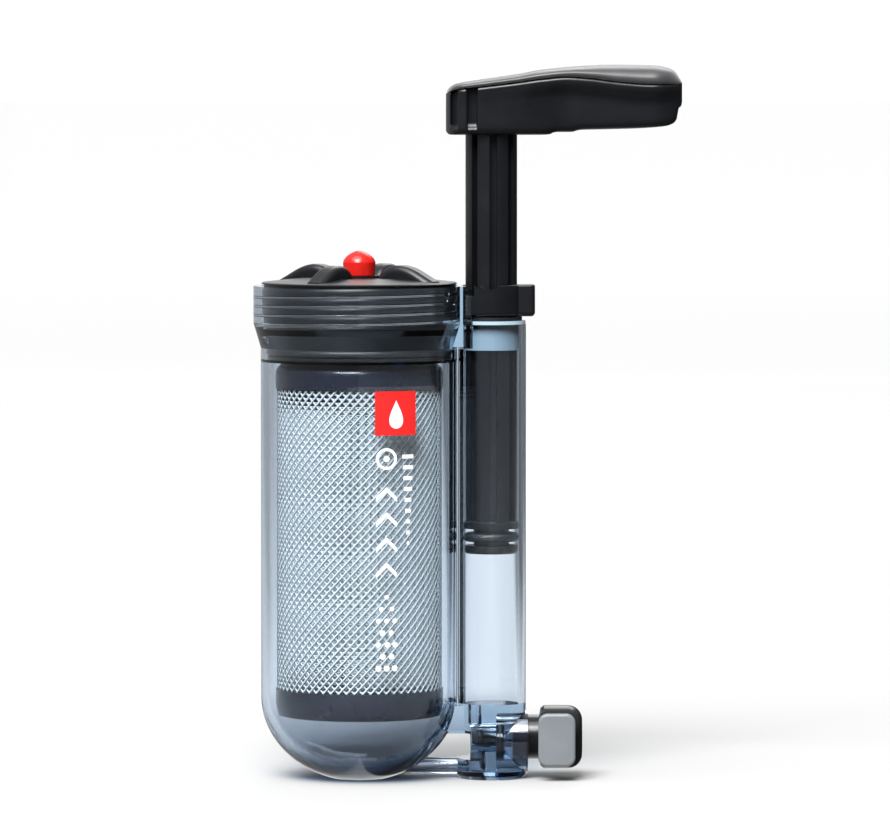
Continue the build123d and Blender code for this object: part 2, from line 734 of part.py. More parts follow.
with BuildPart() as carbon_core:
    with BuildSketch(Plane.XY.offset(media_bottom_z + 0.2)):
        Circle(core_r - core_wall - 0.2)
        Circle(2.4, mode=Mode.SUBTRACT)
    extrude(amount=media_top_z - media_bottom_z - 0.4)
save(carbon_core.part, "carbon_core")


# ---------------------------------------------------------------- label

label_start = -96.6
label_arc = 56.6
label_bottom_z = 28.6
label_top_z = 114.5
with BuildPart() as label:
    with BuildSketch(half_plane(label_start)):
        with Locations((chamber_r + 0.1, (label_bottom_z + label_top_z) / 2)):
            Rectangle(0.16, label_top_z - label_bottom_z)
    revolve(axis=Axis.Z, revolution_arc=label_arc)
save(label.part, "label")
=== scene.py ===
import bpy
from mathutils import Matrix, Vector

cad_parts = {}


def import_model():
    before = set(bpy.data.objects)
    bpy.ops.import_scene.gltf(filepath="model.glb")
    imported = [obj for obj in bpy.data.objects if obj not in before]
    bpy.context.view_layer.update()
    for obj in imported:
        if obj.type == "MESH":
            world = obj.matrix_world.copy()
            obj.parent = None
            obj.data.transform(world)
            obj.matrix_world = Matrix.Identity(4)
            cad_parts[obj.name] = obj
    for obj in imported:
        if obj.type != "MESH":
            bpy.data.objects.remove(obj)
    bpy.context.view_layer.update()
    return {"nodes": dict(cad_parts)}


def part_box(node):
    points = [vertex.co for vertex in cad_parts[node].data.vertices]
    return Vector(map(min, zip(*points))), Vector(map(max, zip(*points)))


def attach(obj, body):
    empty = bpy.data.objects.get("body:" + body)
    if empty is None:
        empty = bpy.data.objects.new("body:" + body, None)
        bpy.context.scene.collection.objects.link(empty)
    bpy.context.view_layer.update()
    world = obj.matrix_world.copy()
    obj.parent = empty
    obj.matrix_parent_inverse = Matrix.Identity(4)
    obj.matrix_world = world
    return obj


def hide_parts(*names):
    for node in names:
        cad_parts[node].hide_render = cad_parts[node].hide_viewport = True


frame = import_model()

import math
import random

import bmesh
import bpy
from mathutils import Vector

MM = 0.001
scene = bpy.context.scene
nodes = frame["nodes"]

# ---------------------------------------------------------------- places, from the frame

FILM_R = -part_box("label")[0].y
FILM_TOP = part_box("label")[1].z
SLEEVE_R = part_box("mesh_sleeve")[1].x
SLEEVE_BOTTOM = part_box("mesh_sleeve")[0].z
SLEEVE_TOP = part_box("mesh_sleeve")[1].z
MEDIA_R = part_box("pleated_media")[1].x
MEDIA_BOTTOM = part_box("pleated_media")[0].z
MEDIA_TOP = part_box("pleated_media")[1].z
CORE_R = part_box("core_tube")[1].x
HANDLE_LOW, HANDLE_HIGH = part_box("handle_body")


# ---------------------------------------------------------------- materials

class Graph:
    """A small helper around one material's nodes."""

    def __init__(self, name):
        self.material = bpy.data.materials.new(name)
        self.material.use_nodes = True
        self.tree = self.material.node_tree
        self.tree.nodes.clear()
        self.output = self.add("ShaderNodeOutputMaterial")

    def add(self, kind, **settings):
        node = self.tree.nodes.new(kind)
        for key, value in settings.items():
            setattr(node, key, value)
        return node

    def link(self, source, target):
        self.tree.links.new(source, target)

    def math(self, operation, a, b):
        node = self.add("ShaderNodeMath", operation=operation)
        for socket, value in zip(node.inputs, (a, b)):
            if isinstance(value, (int, float)):
                socket.default_value = value
            else:
                self.link(value, socket)
        return node.outputs[0]

    def position(self):
        return self.add("ShaderNodeTexCoord").outputs["Object"]

    def noise(self, scale, detail=3.0, rough=0.55, stretch=None):
        node = self.add("ShaderNodeTexNoise")
        node.inputs["Scale"].default_value = scale
        node.inputs["Detail"].default_value = detail
        node.inputs["Roughness"].default_value = rough
        source = self.position()
        if stretch:
            mapping = self.add("ShaderNodeMapping")
            mapping.inputs["Scale"].default_value = stretch
            self.link(source, mapping.inputs["Vector"])
            source = mapping.outputs[0]
        self.link(source, node.inputs["Vector"])
        return node.outputs["Fac"]

    def ramp(self, factor, stops):
        node = self.add("ShaderNodeValToRGB")
        elements = node.color_ramp.elements
        while len(elements) < len(stops):
            elements.new(0.5)
        for element, (place, color) in zip(elements, stops):
            element.position = place
            element.color = (*color, 1.0)
        self.link(factor, node.inputs["Fac"])
        return node.outputs["Color"]

    def range(self, factor, low, high, from_low=0.0, from_high=1.0):
        node = self.add("ShaderNodeMapRange")
        node.inputs["From Min"].default_value = from_low
        node.inputs["From Max"].default_value = from_high
        node.inputs["To Min"].default_value = low
        node.inputs["To Max"].default_value = high
        self.link(factor, node.inputs["Value"])
        return node.outputs["Result"]

    def bump(self, height, distance, strength=1.0):
        node = self.add("ShaderNodeBump")
        node.inputs["Distance"].default_value = distance
        node.inputs["Strength"].default_value = strength
        self.link(height, node.inputs["Height"])
        return node.outputs["Normal"]

    def principled(self, **values):
        node = self.add("ShaderNodeBsdfPrincipled")
        for key, value in values.items():
            socket = node.inputs[key.replace("_", " ")]
            if hasattr(value, "is_output"):
                self.link(value, socket)
            else:
                socket.default_value = value
        return node.outputs["BSDF"]

    def done(self, shader):
        self.link(shader, self.output.inputs["Surface"])
        return self.material


def moulded_plastic(name, dark, light, rough, grain=0.012 * MM, speck=900.0, gloss=0.5):
    """Hard plastic with a fine spark-eroded grain, faint flow marks and uneven gloss."""
    g = Graph(name)
    flow = g.noise(60.0, 4.0, 0.6)
    fine = g.noise(speck, 2.0, 0.5)
    color = g.ramp(flow, [(0.3, dark), (0.75, light)])
    roughness = g.range(g.noise(220.0, 3.0), rough - 0.05, rough + 0.07)
    return g.done(g.principled(Base_Color=color, Roughness=roughness, IOR=1.5, Specular_IOR_Level=gloss,
                               Normal=g.bump(fine, grain)))


def rubber(name, dark, light, rough, sheen=0.0):
    """Soft rubber with a slight bloom."""
    g = Graph(name)
    color = g.ramp(g.noise(120.0, 5.0, 0.65), [(0.3, dark), (0.8, light)])
    roughness = g.range(g.noise(400.0), rough - 0.06, rough + 0.06)
    return g.done(g.principled(Base_Color=color, Roughness=roughness, IOR=1.5, Sheen_Weight=sheen,
                               Sheen_Roughness=0.4, Normal=g.bump(g.noise(700.0), 0.008 * MM)))


def clear_plastic(name, tint, shade, absorb_color, density, rough=0.012, low_shade_tint=None):
    """Tinted clear plastic, darker where light crosses more of it, with painted shade that darkens its
    colour and the light it lets through towards its base.
    """
    g = Graph(name)
    low_shade_tint = low_shade_tint or tint
    split = g.add("ShaderNodeSeparateXYZ")
    g.link(g.position(), split.inputs[0])
    rise = g.range(split.outputs["Z"], 0.0, 1.0, BASE_LOW, BASE_HIGH)
    haze = g.range(g.noise(90.0, 3.0), rough, rough + 0.03, 0.35, 0.8)
    swirl = g.bump(g.noise(38.0, 2.0, 0.4, stretch=(1.0, 1.0, 0.35)), 0.02 * MM, 0.5)
    # painted shade: the glass colour darkens from tint to low_shade_tint towards the base
    color = g.ramp(rise, [(0.0, low_shade_tint), (1.0, tint)])
    glass = g.principled(Base_Color=color, Roughness=haze, IOR=1.5, Transmission_Weight=1.0, Normal=swirl)
    open_side = g.add("ShaderNodeBsdfTransparent")
    # painted shade: the light let through to shadows is also darkened towards the base, deepening the
    # shadow under the dome
    g.link(g.ramp(rise, [(0.0, [part * low for part, low in zip(shade, low_shade_tint)]), (1.0, shade)]),
           open_side.inputs["Color"])
    mix = g.add("ShaderNodeMixShader")
    g.link(g.add("ShaderNodeLightPath").outputs["Is Shadow Ray"], mix.inputs[0])
    g.link(glass, mix.inputs[1])
    g.link(open_side.outputs[0], mix.inputs[2])
    if density:
        absorb = g.add("ShaderNodeVolumeAbsorption")
        absorb.inputs["Color"].default_value = (*absorb_color, 1.0)
        absorb.inputs["Density"].default_value = density
        g.link(absorb.outputs[0], g.output.inputs["Volume"])
    return g.done(mix.outputs[0])


def paper_media(name):
    """Pleated filter paper: fibrous, matt, very slightly blue."""
    g = Graph(name)
    fibres = g.noise(500.0, 6.0, 0.7, stretch=(1.0, 1.0, 0.25))
    color = g.ramp(fibres, [(0.3, (0.93, 0.95, 0.96)), (0.7, (0.98, 0.98, 0.99))])
    return g.done(g.principled(Base_Color=color, Roughness=0.9, Normal=g.bump(fibres, 0.05 * MM)))


def steel(name):
    """Bright steel with fine drawn lines along it."""
    g = Graph(name)
    lines = g.noise(900.0, 2.0, stretch=(1.0, 1.0, 0.05))
    return g.done(g.principled(Base_Color=(0.62, 0.62, 0.61, 1.0), Metallic=1.0,
                               Roughness=g.range(lines, 0.2, 0.38)))


def carbon(name):
    """Pressed carbon grains, dull and almost black."""
    g = Graph(name)
    cells = g.add("ShaderNodeTexVoronoi")
    cells.inputs["Scale"].default_value = 900.0
    g.link(g.position(), cells.inputs["Vector"])
    color = g.ramp(cells.outputs["Distance"], [(0.0, (0.03, 0.03, 0.032)), (0.8, (0.008, 0.008, 0.009))])
    grains = g.bump(cells.outputs["Distance"], 0.2 * MM)
    return g.done(g.principled(Base_Color=color, Roughness=0.75, Normal=grains))


def ink(name, color, worn):
    """Screen-printed ink: even, satin, with a slightly mottled edge to its gloss."""
    g = Graph(name)
    shade = g.ramp(g.noise(300.0, 4.0), [(0.3, worn), (0.6, color)])
    return g.done(g.principled(Base_Color=shade, Roughness=g.range(g.noise(500.0), 0.30, 0.42),
                               Normal=g.bump(g.noise(1500.0), 0.003 * MM)))


# Heights over which the clear plastic's painted shade fades out upwards
BASE_LOW = 12.0 * MM
BASE_HIGH = 26.0 * MM
SMOKE = (0.36, 0.60, 0.78)
CLEAR = clear_plastic("clear_blue", (0.93, 0.96, 1.0), (0.99, 1.0, 1.0), SMOKE, 72.0,
                      low_shade_tint=(0.60, 0.64, 0.71))
FILM = clear_plastic("clear_film", (0.95, 0.97, 0.98), (0.98, 0.99, 0.99), SMOKE, 0.0, 0.08)
BLACK = moulded_plastic("black_plastic", (0.005, 0.0055, 0.007), (0.009, 0.010, 0.012), 0.30, gloss=0.40)
BLACK_GLOSS = moulded_plastic("black_gloss", (0.005, 0.0055, 0.006), (0.010, 0.011, 0.012), 0.24,
                              0.004 * MM)
SOFT = rubber("soft_grip", (0.034, 0.034, 0.036), (0.052, 0.052, 0.055), 0.36, 0.6)
BLACK_RUBBER = rubber("black_rubber", (0.006, 0.006, 0.007), (0.012, 0.012, 0.013), 0.45)
RED = rubber("red_rubber", (0.54, 0.007, 0.005), (0.64, 0.014, 0.009), 0.26)
GREY = moulded_plastic("grey_latch", (0.160, 0.178, 0.192), (0.205, 0.222, 0.236), 0.34, 0.006 * MM)
GREY_MATT = moulded_plastic("grey_plastic", (0.33, 0.35, 0.37), (0.40, 0.42, 0.44), 0.45)
BUSH = moulded_plastic("pale_bush", (0.34, 0.46, 0.55), (0.42, 0.54, 0.63), 0.38)
CAP = moulded_plastic("dark_blue_cap", (0.006, 0.008, 0.020), (0.010, 0.013, 0.028), 0.24)
NET = moulded_plastic("net", (0.93, 0.95, 0.96), (0.97, 0.98, 0.98), 0.45, gloss=0.3)
MEDIA = paper_media("filter_media")
WHITE = moulded_plastic("white_plastic", (0.70, 0.71, 0.72), (0.78, 0.79, 0.80), 0.42)
STEEL = steel("steel")
CARBON = carbon("carbon")
RED_INK = ink("red_ink", (0.74, 0.014, 0.012), (0.66, 0.012, 0.012))
WHITE_INK = ink("white_ink", (0.90, 0.92, 0.93), (0.82, 0.85, 0.87))

node_materials = {
    "housing": CLEAR, "inlet_adapter": CLEAR, "label": FILM,
    "lid": BLACK, "retainer_clip": BLACK, "pump_rod": BLACK, "handle_body": BLACK,
    "inlet_valve_seat": BLACK, "outlet_nipple": BLACK, "palm_pad": SOFT,
    "coupling_body": BLACK_GLOSS, "coupling_latch": GREY,
    "adapter_o_ring": BLACK_RUBBER, "coupling_o_ring": BLACK_RUBBER, "piston_o_ring": BLACK_RUBBER,
    "lid_o_ring": BLACK_RUBBER, "cartridge_o_ring": BLACK_RUBBER, "rod_wiper": BLACK_RUBBER,
    "inlet_valve_disc": BLACK_RUBBER, "outlet_valve_disc": BLACK_RUBBER,
    "outlet_cap": RED, "outlet_valve_seat": GREY_MATT, "guide_bush": BUSH,
    "cartridge_top_cap": CAP, "cartridge_bottom_cap": CAP, "mesh_sleeve": NET,
    "pleated_media": MEDIA, "core_tube": WHITE, "carbon_core": CARBON,
    "handle_screw": STEEL, "latch_spring": STEEL,
}
for name, node in nodes.items():
    node.data.materials.clear()
    node.data.materials.append(node_materials[name])


# ---------------------------------------------------------------- meshes

def make_piece(name, vertices, faces, material, body, replaced=None, smooth=True):
    """A mesh object that rides on a body, from lists of points and faces."""
    mesh = bpy.data.meshes.new(name)
    mesh.from_pydata(vertices, [], faces)
    shape = bmesh.new()
    shape.from_mesh(mesh)
    bmesh.ops.remove_doubles(shape, verts=shape.verts, dist=1e-6)
    bmesh.ops.recalc_face_normals(shape, faces=shape.faces)
    shape.to_mesh(mesh)
    shape.free()
    for face in mesh.polygons:
        face.use_smooth = smooth
    mesh.materials.append(material)
    piece = bpy.data.objects.new(name, mesh)
    scene.collection.objects.link(piece)
    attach(piece, body)
    if replaced:
        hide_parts(replaced)


def loft(sections, closed_ends=True):
    """Points and faces of a skin over closed sections that all have the same number of points."""
    count = len(sections[0])
    vertices = [point for section in sections for point in section]
    faces = []
    for i in range(len(sections) - 1):
        for j in range(count):
            k = (j + 1) % count
            faces.append((i * count + j, i * count + k, (i + 1) * count + k, (i + 1) * count + j))
    if closed_ends:
        faces.append(tuple(range(count)))
        last = (len(sections) - 1) * count
        faces.append(tuple(range(last + count - 1, last - 1, -1)))
    return vertices, faces


def smooth_curve(points, x):
    """The height at x of a smooth line through points that never overshoots them."""
    if x <= points[0][0]:
        return points[0][1]
    if x >= points[-1][0]:
        return points[-1][1]
    slopes = [(b[1] - a[1]) / (b[0] - a[0]) for a, b in zip(points, points[1:])]
    tangents = [slopes[0]]
    for before, after in zip(slopes, slopes[1:]):
        together = before * after > 0
        tangents.append(2 * before * after / (before + after) if together else 0.0)
    tangents.append(slopes[-1])
    for i in range(len(points) - 1):
        (xa, ya), (xb, yb) = points[i], points[i + 1]
        if x <= xb:
            span = xb - xa
            t = (x - xa) / span
            return ((2 * t**3 - 3 * t**2 + 1) * ya + (t**3 - 2 * t**2 + t) * span * tangents[i]
                    + (3 * t**2 - 2 * t**3) * yb + (t**3 - t**2) * span * tangents[i + 1])


# ---------------------------------------------------------------- handle

def mm_points(*pairs):
    """Points of a side or plan line, given in millimetres."""
    return [(x * MM, z * MM) for x, z in pairs]


PAD_TOP = mm_points((25.0, 198.2), (25.9, 199.5), (27.9, 200.7), (34.9, 201.9), (46.4, 203.6),
                    (52.2, 204.7), (63.9, 205.8), (72.6, 206.15), (84.5, 206.0), (89.0, 205.3),
                    (91.3, 204.0), (92.6, 202.2), (93.1, 201.1))
PARTING = mm_points((25.0, 197.6), (27.6, 199.0), (34.9, 199.9), (44.0, 201.0), (53.6, 202.3),
                    (59.4, 202.8), (66.0, 202.4), (75.2, 201.3), (83.9, 200.7), (93.1, 200.7))
UNDERSIDE = mm_points((25.0, 187.0), (25.9, 186.1), (27.0, 186.0), (52.2, 186.0), (54.5, 186.1),
                      (56.5, 186.8), (61.0, 186.8), (63.4, 187.4), (66.9, 187.5), (78.7, 187.8),
                      (87.5, 188.4), (90.1, 189.1), (91.4, 190.3), (91.75, 192.4), (92.0, 193.6),
                      (92.9, 194.4), (93.1, 195.6))
LOWER_HALF_WIDTH = mm_points((25.0, 9.6), (44.0, 9.6), (54.0, 8.4), (62.0, 7.5), (93.1, 7.5))
BAND_HALF_WIDTH = mm_points((25.0, 9.7), (44.0, 9.8), (58.0, 10.1), (93.1, 10.15))
PAD_HALF_WIDTH = mm_points((25.0, 9.8), (44.0, 10.1), (58.0, 10.5), (93.1, 10.55))
SLOTS = ((26.3 * MM, 28.5 * MM), (31.1 * MM, 34.1 * MM))
SLOT_DEPTH = 2.6 * MM
SLOT_EDGE = 0.04 * MM
LEFT_ROUNDING = 5.5 * MM
RIGHT_ROUNDING = 8.0 * MM
ROUNDING_STEPS = 12
MIDDLE_STEPS = 56
BODY_CORNER = 2.2 * MM
UNDERCUT_DROP = 5.6 * MM
PAD_LIFT = 0.9 * MM


def handle_stations():
    """Places along the handle: close together at its rounded ends and at the edges of the side slots."""
    left, right = HANDLE_LOW.x, HANDLE_HIGH.x
    stations = []
    for i in range(ROUNDING_STEPS):
        stations.append(left + LEFT_ROUNDING * (1 - math.cos(math.pi / 2 * i / ROUNDING_STEPS)))
        stations.append(right - RIGHT_ROUNDING * (1 - math.cos(math.pi / 2 * i / ROUNDING_STEPS)))
    inner_left, inner_right = left + LEFT_ROUNDING, right - RIGHT_ROUNDING
    for i in range(MIDDLE_STEPS + 1):
        stations.append(inner_left + (inner_right - inner_left) * i / MIDDLE_STEPS)
    for start, end in SLOTS:
        for edge in (start, end):
            stations += [edge - SLOT_EDGE, edge + SLOT_EDGE]
    return sorted(stations)


def plan_rounding(x):
    """The share of the full width at x, for round ends in plan."""
    share = 1.0
    for distance, radius in ((x - HANDLE_LOW.x, LEFT_ROUNDING), (HANDLE_HIGH.x - x, RIGHT_ROUNDING)):
        if distance < radius:
            share = min(share, math.sqrt(max(0.0, 1 - ((radius - distance) / radius) ** 2)))
    return max(share, 0.02)


def mirrored(half, x):
    """A closed section at x from the points of its +Y half, which starts and ends near y 0."""
    return [(x, y, z) for y, z in half] + [(x, -y, z) for y, z in reversed(half)]


def body_half_section(x):
    """The +Y half of the hard part: a narrow grip that widens to a band under the parting line."""
    low = smooth_curve(UNDERSIDE, x)
    split = smooth_curve(PARTING, x)
    height = split - low
    lower = smooth_curve(LOWER_HALF_WIDTH, x)
    band = smooth_curve(BAND_HALF_WIDTH, x)
    corner = min(BODY_CORNER, 0.3 * height)
    half = [(0.0, low), (0.4 * lower, low)]
    for i in range(7):
        turn = math.pi / 2 * i / 6
        half.append((lower - corner + corner * math.sin(turn), low + corner - corner * math.cos(turn)))
    undercut = split - min(UNDERCUT_DROP, 0.45 * height)
    half += [(lower, low + corner + (undercut - low - corner) * i / 4) for i in range(1, 5)]
    for i in range(1, 9):
        t = i / 8
        blend = t * t * (3 - 2 * t)
        half.append((lower + (band - lower) * blend, undercut + (split - 1.5 * MM - undercut) * t))
    half += [(band + 0.05 * MM, split - 1.1 * MM), (band - 0.05 * MM, split - 0.6 * MM),
             (band - 0.35 * MM, split - 0.3 * MM), (band - 1.1 * MM, split), (0.0, split)]
    share = plan_rounding(x)
    in_slot = any(start < x < end for start, end in SLOTS)
    cut = []
    for y, z in half:
        y *= share
        if in_slot and z > low + corner * 0.9 and y > SLOT_DEPTH:
            y -= SLOT_DEPTH
        cut.append((y, z))
    return cut


def pad_half_section(x):
    """The +Y half of the soft part: a crowned pad above the parting line."""
    split = smooth_curve(PARTING, x)
    top = max(smooth_curve(PAD_TOP, x), split + 0.3 * MM)
    width = smooth_curve(PAD_HALF_WIDTH, x)
    share = plan_rounding(x)
    lift = min(PAD_LIFT, 0.3 * (top - split))
    half = [(0.0, split), (width - 1.6 * MM, split), (width - 0.6 * MM, split + 0.12 * MM),
            (width - 0.08 * MM, split + 0.45 * lift)]
    for i in range(13):
        turn = math.pi / 2 * i / 12
        height = split + lift + (top - split - lift) * math.sin(turn) ** 0.9
        half.append((width * math.cos(turn) ** 0.8, height))
    return [(y * share, z) for y, z in half]


def handle():
    """The hard body and the soft pad on it, each a skin over the same stations."""
    stations = handle_stations()
    halves = (("handle_body", body_half_section, BLACK, "black_plastic"),
              ("palm_pad", pad_half_section, SOFT, "soft_grip"))
    for node_name, section, material, slot in halves:
        vertices, faces = loft([mirrored(section(x), x) for x in stations])
        make_piece(f"{node_name}_shaped", vertices, faces, material, "plunger", node_name)


# ---------------------------------------------------------------- cartridge

def strand(path, width, depth):
    """Points and faces of a flat four-sided strand along a path of (angle, z, radius)."""
    vertices = []
    for i, (angle, z, radius) in enumerate(path):
        near, far = path[max(i - 1, 0)], path[min(i + 1, len(path) - 1)]
        along = Vector(((far[0] - near[0]) * radius, far[1] - near[1])).normalized()
        across = (-along.y * width / 2, along.x * width / 2)
        for side, rise in ((1, 0), (0, 1), (-1, 0), (0, -1)):
            turn = angle + side * across[0] / radius
            reach = radius + rise * depth / 2
            vertices.append((reach * math.cos(turn), reach * math.sin(turn), z + side * across[1]))
    faces = []
    for i in range(len(path) - 1):
        for j in range(4):
            k = (j + 1) % 4
            faces.append((4 * i + j, 4 * i + k, 4 * i + 4 + k, 4 * i + 4 + j))
    return vertices, faces


def joined(parts):
    """The points and faces of several parts as one mesh."""
    vertices, faces = [], []
    for more_vertices, more_faces in parts:
        start = len(vertices)
        vertices += more_vertices
        faces += [tuple(start + i for i in face) for face in more_faces]
    return vertices, faces


STRANDS_EACH_WAY = 66
NET_CELL_HEIGHT = 2.5 * MM
STRAND_STEPS = 34
STRAND_WIDTH = 0.58 * MM
STRAND_DEPTH = 0.20 * MM
OUTER_LAYER_R = SLEEVE_R - 0.11 * MM
INNER_LAYER_R = SLEEVE_R - 0.27 * MM
HOOP_R = SLEEVE_R - 0.42 * MM
HOOP_PITCH = 1.15 * MM
HOOP_STEPS = 72
HOOP_WIDTH = 0.26 * MM
HOOP_DEPTH = 0.14 * MM


def net():
    """The extruded net: two layers of helical strands, with fine hoops inside them."""
    height = SLEEVE_TOP - SLEEVE_BOTTOM
    sweep = 2 * math.pi * height / (STRANDS_EACH_WAY * NET_CELL_HEIGHT)
    parts = []
    for i in range(STRANDS_EACH_WAY):
        start = 2 * math.pi * i / STRANDS_EACH_WAY
        for direction, radius in ((1, OUTER_LAYER_R), (-1, INNER_LAYER_R)):
            path = [(start + direction * sweep * step / STRAND_STEPS,
                     SLEEVE_BOTTOM + height * step / STRAND_STEPS, radius)
                    for step in range(STRAND_STEPS + 1)]
            parts.append(strand(path, STRAND_WIDTH, STRAND_DEPTH))
    for row in range(int(height / HOOP_PITCH)):
        z = SLEEVE_BOTTOM + HOOP_PITCH * (row + 0.5)
        path = [(2 * math.pi * i / HOOP_STEPS, z, HOOP_R) for i in range(HOOP_STEPS + 1)]
        parts.append(strand(path, HOOP_WIDTH, HOOP_DEPTH))
    vertices, faces = joined(parts)
    make_piece("net_strands", vertices, faces, NET, "cartridge", "mesh_sleeve")


PLEATS = 64
STEPS_PER_PLEAT = 10
PAPER_THICKNESS = 0.35 * MM
PLEAT_ROOT_R = CORE_R + 0.9 * MM
CROWN_FULLNESS = 0.22
PLEAT_ROWS = 5


def pleat_rings(outline):
    """Rings of points up the pleats, each leaning a little from the one below."""
    rings = []
    for row in range(PLEAT_ROWS + 1):
        z = MEDIA_BOTTOM + (MEDIA_TOP - MEDIA_BOTTOM) * row / PLEAT_ROWS
        lean = 0.02 * math.sin(row * 1.7)
        rings.append([(r * math.cos(a + lean), r * math.sin(a + lean), z) for r, a in outline])
    return rings


def pleats():
    """Filter paper in rounded pleats, each a little different from the next."""
    rng = random.Random(11)
    shares = [1 + rng.uniform(-0.16, 0.16) for _ in range(PLEATS)]
    total = sum(shares)
    outer, inner = [], []
    angle = 0.0
    for share in shares:
        width = 2 * math.pi * share / total
        reach = MEDIA_R - PAPER_THICKNESS - rng.uniform(0.0, 0.5) * MM
        for i in range(STEPS_PER_PLEAT):
            t = i / STEPS_PER_PLEAT
            wave = (0.5 - 0.5 * math.cos(2 * math.pi * t)) ** CROWN_FULLNESS
            turn = angle + width * t
            radius = PLEAT_ROOT_R + (reach - PLEAT_ROOT_R) * wave
            outer.append((radius + PAPER_THICKNESS, turn))
            inner.append((radius, turn))
        angle += width
    outside = pleat_rings(outer)
    vertices, faces = loft(outside + pleat_rings(inner)[::-1] + outside[:1], closed_ends=False)
    make_piece("rounded_pleats", vertices, faces, MEDIA, "cartridge", "pleated_media")


# ---------------------------------------------------------------- label

INK_THICKNESS = 0.04 * MM
BEND_STEP = 0.9 * MM


def print_on_film(name, outlines, material, lift):
    """Flat closed outlines, as metres round the film and up, bent onto it and given thickness."""
    sheet = bmesh.new()
    for outline in outlines:
        corners = [sheet.verts.new((x, 0.0, z)) for x, z in outline]
        sheet.faces.new(corners)
    low = min(v.co.x for v in sheet.verts)
    high = max(v.co.x for v in sheet.verts)
    for i in range(1, int((high - low) / BEND_STEP) + 1):
        bmesh.ops.bisect_plane(sheet, geom=sheet.verts[:] + sheet.edges[:] + sheet.faces[:], dist=1e-7,
                               plane_co=(low + i * BEND_STEP, 0, 0), plane_no=(1, 0, 0))
    flat = [(v.co.x, v.co.z) for v in sheet.verts]
    sheet.verts.index_update()
    tops = [[v.index for v in face.verts] for face in sheet.faces]
    rims = [[v.index for v in edge.verts] for edge in sheet.edges if len(edge.link_faces) == 1]
    sheet.free()
    vertices = []
    for radius in (FILM_R + lift, FILM_R + lift + INK_THICKNESS):
        vertices += [(radius * math.sin(x / FILM_R), -radius * math.cos(x / FILM_R), z) for x, z in flat]
    count = len(flat)
    faces = [tuple(face) for face in tops] + [tuple(i + count for i in reversed(face)) for face in tops]
    faces += [(a, b, b + count, a + count) for a, b in rims]
    make_piece(name, vertices, faces, material, "root", smooth=False)


def rounded_square(x, z, side, corner):
    outline = []
    half = side / 2 - corner
    for quarter, (sx, sz) in enumerate(((1, 1), (-1, 1), (-1, -1), (1, -1))):
        for i in range(5):
            turn = math.pi / 2 * (quarter + i / 4)
            outline.append((x + sx * half + corner * math.cos(turn),
                            z + sz * half + corner * math.sin(turn)))
    return outline


def dot(x, z, radius):
    return [(x + radius * math.cos(2 * math.pi * i / 16), z + radius * math.sin(2 * math.pi * i / 16))
            for i in range(16)]


def droplet(x, z, radius):
    """A drop of water: round below, drawn to a point above."""
    outline = []
    for i in range(32):
        turn = 2 * math.pi * i / 32
        outline.append((x + radius * math.sin(turn) * math.sin(turn / 2) ** 1.5,
                        z + 1.35 * radius * math.cos(turn)))
    return outline


def ring(x, z, outer, inner):
    """A ring as eight pieces, end to end."""
    parts = []
    for i in range(8):
        start, end = 2 * math.pi * i / 8, 2 * math.pi * (i + 1) / 8
        arc = [start + (end - start) * j / 3 for j in range(4)]
        parts.append([(x + outer * math.cos(a), z + outer * math.sin(a)) for a in arc]
                     + [(x + inner * math.cos(a), z + inner * math.sin(a)) for a in reversed(arc)])
    return parts


def chevron(x, z, half_width, rise, weight):
    """An upward chevron as its two legs."""
    return [[(x, z + rise), (x, z + rise - weight),
             (x + side * half_width, z - weight), (x + side * half_width, z)] for side in (-1, 1)]


def bar(x, z, width, height):
    return [(x - width / 2, z - height / 2), (x + width / 2, z - height / 2),
            (x + width / 2, z + height / 2), (x - width / 2, z + height / 2)]


SQUARE_X = 11.1 * MM
SQUARE_Z = FILM_TOP - 7.6 * MM
SQUARE_SIDE = 12.6 * MM
SQUARE_CORNER = 0.35 * MM
DROP_R = 3.0 * MM
COLUMN_X = 8.2 * MM
RING_DROP = 13.0 * MM
CHEVRON_DROP = 24.0 * MM
CHEVRON_PITCH = 7.2 * MM
DOTS_DROP = 52.5 * MM
DOT_PITCH = 3.4 * MM
DOT_ROWS = ((0.0,), (-1.6, 1.6), (-2.4, 0.0, 2.4), (-1.3, 1.3), (-2.5, 0.2, 2.5), (-1.2, 1.4),
            (-2.4, 0.0, 2.4))
GAUGE_X = 14.8 * MM
GAUGE_DROP = 12.4 * MM
GAUGE_PITCH = 3.1 * MM


def label():
    """A red square with a drop, then signs for cloudy water that gets clearer as it passes the filter."""
    square = rounded_square(SQUARE_X, SQUARE_Z, SQUARE_SIDE, SQUARE_CORNER)
    print_on_film("label_square", [square], RED_INK, 0.01 * MM)
    drop = droplet(SQUARE_X, SQUARE_Z - 0.3 * MM, DROP_R)
    print_on_film("label_drop", [drop], WHITE_INK, 0.055 * MM)
    marks = ring(COLUMN_X, SQUARE_Z - RING_DROP, 3.1 * MM, 2.3 * MM)
    marks.append(dot(COLUMN_X, SQUARE_Z - RING_DROP, 0.9 * MM))
    for i in range(4):
        z = SQUARE_Z - CHEVRON_DROP - CHEVRON_PITCH * i
        marks += chevron(COLUMN_X, z, 3.1 * MM, 3.0 * MM, 1.35 * MM)
    for row, places in enumerate(DOT_ROWS):
        z = SQUARE_Z - DOTS_DROP - DOT_PITCH * row
        radius = (0.62 + 0.04 * row) * MM
        marks += [dot(COLUMN_X + place * MM, z, radius) for place in places]
    for i in range(9):
        z = SQUARE_Z - GAUGE_DROP - GAUGE_PITCH * i
        marks.append(bar(GAUGE_X, z, (3.6 - 0.36 * i) * MM, 1.1 * MM))
    print_on_film("label_signs", marks, WHITE_INK, 0.01 * MM)


handle()
net()
pleats()
label()


# ---------------------------------------------------------------- studio

